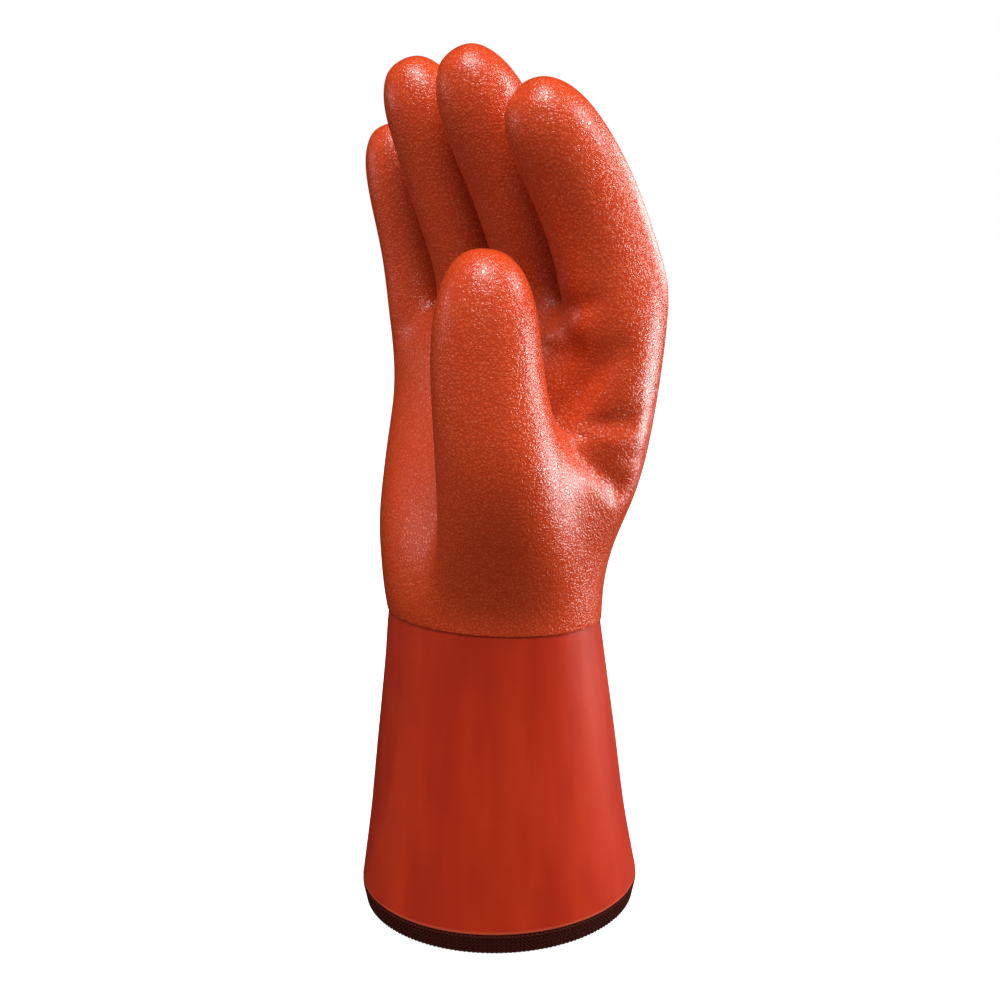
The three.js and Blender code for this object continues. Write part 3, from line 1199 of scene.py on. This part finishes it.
@dataclass
class HemStitches:
    """The knitted face of the hem: rows of small V stitches round its outside."""

    node: str | None = None
    name: str = "hem_stitches"
    slot: Slot = Slot.HEM
    hem: Hem = field(default_factory=Hem)
    yarn: SpunYarn = field(default_factory=SpunYarn)
    wale: float = 1.6
    course: float = 1.35
    rows: int = 5
    first_height: float = 1.1
    leg_length: float = 0.95
    leg_radius: float = 0.34
    leg_lean: float = 24.0
    join_within: float = 0.01

    def stitch(self) -> bpy.types.Mesh:
        """Builds one V that faces outwards along X, with a slender leg in each half of its wale.

        Returns:
            The stitch's mesh.
        """
        form = bmesh.new()
        for side in (-1, 1):
            leg = bmesh.ops.create_icosphere(form, subdivisions=1, radius=MM)["verts"]
            bmesh.ops.scale(
                form, vec=(self.leg_radius, self.leg_radius, self.leg_length), verts=leg
            )
            lean = Matrix.Rotation(math.radians(-side * self.leg_lean), 3, "X")
            bmesh.ops.rotate(form, matrix=lean, verts=leg)
            bmesh.ops.translate(form, vec=(0, side * self.wale * MM / 4, 0), verts=leg)
        mesh = bpy.data.meshes.new(self.name)
        form.to_mesh(mesh)
        form.free()
        mesh.shade_smooth()
        return mesh

    def sizes(self) -> dict[str, float | int]:
        """Works out the tree's inputs.

        Returns:
            Each input's value by its name, in metres where it is a length.
        """
        shape = self.hem.shape
        lowest = self.first_height
        highest = lowest + (self.rows - 1) * self.course
        in_at_top = self.hem.step_back
        rise = (highest - lowest) / (shape.hem_height - self.hem.radius)
        return {
            "Wales": round(math.pi * (shape.rim_width + shape.rim_depth) / 2 / self.wale),
            "Rows": self.rows,
            "Half width": (shape.rim_width / 2 - in_at_top) * MM,
            "Half depth": (shape.rim_depth / 2 - in_at_top) * MM,
            "Draw in": self.hem.taper * rise * MM,
            "Lowest": lowest * MM,
            "Highest": highest * MM,
            "Centre x": shape.centre[0] * MM,
            "Centre y": shape.centre[1] * MM,
        }

    def tree(self) -> bpy.types.NodeTree:
        """Builds the node tree that sets the stitch round the hem, row over row.

        Returns:
            The tree. Its inputs are this class's sizes, and its geometry is one stitch.
        """
        tree = new_tree("Knit_stitches", "Stitch", self.sizes(), "Stitches")
        node = partial(add_node, tree)
        size = node("NodeGroupInput").outputs
        columns = node(MATH, ADD, {0: size["Wales"], 1: 1})
        counts = {"Vertices X": columns, "Vertices Y": size["Rows"]}
        grid = node("GeometryNodeMeshGrid", inputs=counts)
        along = node(SEPARATE, inputs={0: grid.outputs["UV Map"]}).outputs
        turn = node(MATH, MULTIPLY, {0: along["X"], 1: math.tau})
        down = node(MATH, SUBTRACT, {0: 1.0, 1: along["Y"]})
        drawn_in = node(MATH, MULTIPLY, {0: down, 1: size["Draw in"]})
        place = {}
        for name, centre, wave in (
            ("Half width", "Centre x", "COSINE"),
            ("Half depth", "Centre y", "SINE"),
        ):
            reach = node(MATH, SUBTRACT, {0: size[name], 1: drawn_in})
            share = node(MATH, {"operation": wave}, {0: turn})
            place[name] = node(MATH, MULTIPLY_ADD, {0: reach, 1: share, 2: size[centre]})
        height = node(
            MAP_RANGE,
            inputs={"Value": along["Y"], "To Min": size["Lowest"], "To Max": size["Highest"]},
        )
        point = node(
            COMBINE, inputs={"X": place["Half width"], "Y": place["Half depth"], "Z": height}
        )
        placed = node("GeometryNodeSetPosition", inputs={"Geometry": grid, "Position": point})
        single = node(
            "GeometryNodeMergeByDistance",
            inputs={"Geometry": placed, "Distance": self.join_within * MM},
        )
        spot = node(SEPARATE, inputs={0: node("GeometryNodeInputPosition")}).outputs
        x = node(MATH, SUBTRACT, {0: spot["X"], 1: size["Centre x"]})
        y = node(MATH, SUBTRACT, {0: spot["Y"], 1: size["Centre y"]})
        facing = node(MATH, {"operation": "ARCTAN2"}, {0: y, 1: x})
        stitched = node(
            "GeometryNodeInstanceOnPoints",
            inputs={
                "Points": single,
                "Instance": size["Stitch"],
                "Rotation": node(COMBINE, inputs={"Z": facing}),
            },
        )
        end_tree(tree, stitched, size["Material"])
        return tree

    def build(self) -> bpy.types.Object:
        """Builds and dresses the stitches.

        Returns:
            The piece, which only dresses the hem and stands for no solid.
        """
        piece = new_object(self.name, self.stitch())
        material = self.yarn.material()
        grow(piece, self.tree(), {**self.sizes(), "Material": material})
        piece.data.materials.clear()
        piece.data.materials.append(material)
        return piece


# The studio.


def aim(
    thing: bpy.types.Object, target: Vector, azimuth: float, elevation: float, distance: float
) -> None:
    """Puts a lamp or the camera at its place round the glove, and points it at its target.

    Args:
        thing: the object, which looks along its own -Z.
        target: the point that it looks at.
        azimuth: degrees round the glove, 0 in front of the palm and 90 on the thumb's side.
        elevation: degrees over the horizon.
        distance: metres from the target.
    """
    a = math.radians(azimuth)
    e = math.radians(elevation)
    back = Vector((math.sin(a) * math.cos(e), -math.cos(a) * math.cos(e), math.sin(e)))
    thing.location = target + back * distance
    thing.rotation_euler = (-back).to_track_quat("-Z", "Y").to_euler()


@dataclass(frozen=True)
class Softbox:
    """A large lamp that points at the glove, with its distance and size in metres."""

    name: str
    azimuth: float
    elevation: float
    distance: float
    size: float
    power: float
    colour: str = "#ffffff"

    def build(self, target: Vector) -> None:
        """Puts the lamp into the scene.

        Args:
            target: the point that it lights.
        """
        lamp = bpy.data.lights.new(self.name, "AREA")
        lamp.shape = "DISK"
        lamp.size = self.size
        lamp.energy = self.power
        lamp.color = linear(self.colour)[:3]
        holder = new_object(self.name, lamp)
        aim(holder, target, self.azimuth, self.elevation, self.distance)


@dataclass
class Studio:
    """White paper, soft lamps and the photograph's camera.

    The floor's size is in metres, and the camera's lengths and its target are in millimetres.
    """

    paper: StudioPaper = field(default_factory=StudioPaper)
    floor_size: float = 30.0
    sky: float = 0.9
    ground: float = 0.3
    horizon: float = 0.66
    backdrop: float = 1.0
    azimuth: float = 52.0
    elevation: float = 9.3
    distance: float = 425.6
    target: Point = (-0.618, 0.913, 146.0)
    focal_pixels: float = 1200.0
    sensor: float = 36.0
    nearest: float = 10.0
    lamps: tuple[Softbox, ...] = (
        Softbox("Key", 140, 32, 1.1, 0.36, 6.5),
        Softbox("Side", 151, -6, 0.5, 0.26, 2.2),
        Softbox("Rim", 188, 16, 1.1, 0.4, 3),
        Softbox("Top", 52, 60, 1.1, 0.6, 14),
        Softbox("Edge", -45, 12, 1.2, 0.4, 1.2, "#ffe6ea"),
    )

    def lay_floor(self) -> None:
        """Lays the paper, which the lamps light but which throws no light on the glove."""
        half = self.floor_size / 2
        mesh = bpy.data.meshes.new("floor")
        corners = [(-half, -half, 0), (half, -half, 0), (half, half, 0), (-half, half, 0)]
        mesh.from_pydata(corners, [], [(0, 1, 2, 3)])
        mesh.materials.append(self.paper.material())
        floor = new_object("floor", mesh)
        floor.visible_diffuse = False
        floor.visible_glossy = False

    def light_room(self) -> None:
        """Lights the room from all round, brighter from above, in front of a plain backdrop."""
        world = bpy.data.worlds.new("Studio")
        world.use_nodes = True
        node = partial(add_node, world.node_tree)
        way = node("ShaderNodeTexCoord").outputs["Generated"]
        light = node(
            MAP_RANGE,
            inputs={
                "Value": node(SEPARATE, inputs={0: way}).outputs["Z"],
                "From Min": -self.horizon,
                "From Max": self.horizon,
                "To Min": self.ground,
                "To Max": self.sky,
            },
        )
        seen = node("ShaderNodeLightPath").outputs["Is Camera Ray"]
        strength = node(
            MAP_RANGE, inputs={"Value": seen, "To Min": light, "To Max": self.backdrop}
        )
        background = world.node_tree.nodes["Background"]
        set_inputs(background, {"Color": WHITE, "Strength": strength})
        world.cycles_visibility.glossy = False
        bpy.context.scene.world = world
        bpy.context.scene.view_settings.view_transform = "Standard"

    def set_camera(self, target: Vector) -> None:
        """Sets up the photograph's camera.

        Args:
            target: the point that it looks at.
        """
        lens = bpy.data.cameras.new("camera")
        lens.sensor_width = self.sensor
        lens.lens = self.focal_pixels * self.sensor / IMAGE_PIXELS
        lens.clip_start = self.nearest * MM
        camera = new_object("camera", lens)
        aim(camera, target, self.azimuth, self.elevation, self.distance * MM)
        bpy.context.scene.camera = camera

    def build(self) -> None:
        """Builds the floor, the light and the camera."""
        self.lay_floor()
        self.light_room()
        target = Vector(self.target) * MM
        for lamp in self.lamps:
            lamp.build(target)
        self.set_camera(target)


def main() -> None:
    """Builds the studio and every piece of the glove."""
    logging.basicConfig(level=logging.INFO, format="%(name)s: %(message)s")
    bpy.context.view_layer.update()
    Studio().build()
    for part in (Hand(), Cuff(), Hem(), HemStitches()):
        piece = part.build()
        if part.node:
            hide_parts(part.node)
        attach(piece, "root")
        LOG.info("%s: %d faces", piece.name, len(piece.data.polygons))


if __name__ == "__main__":
    main()
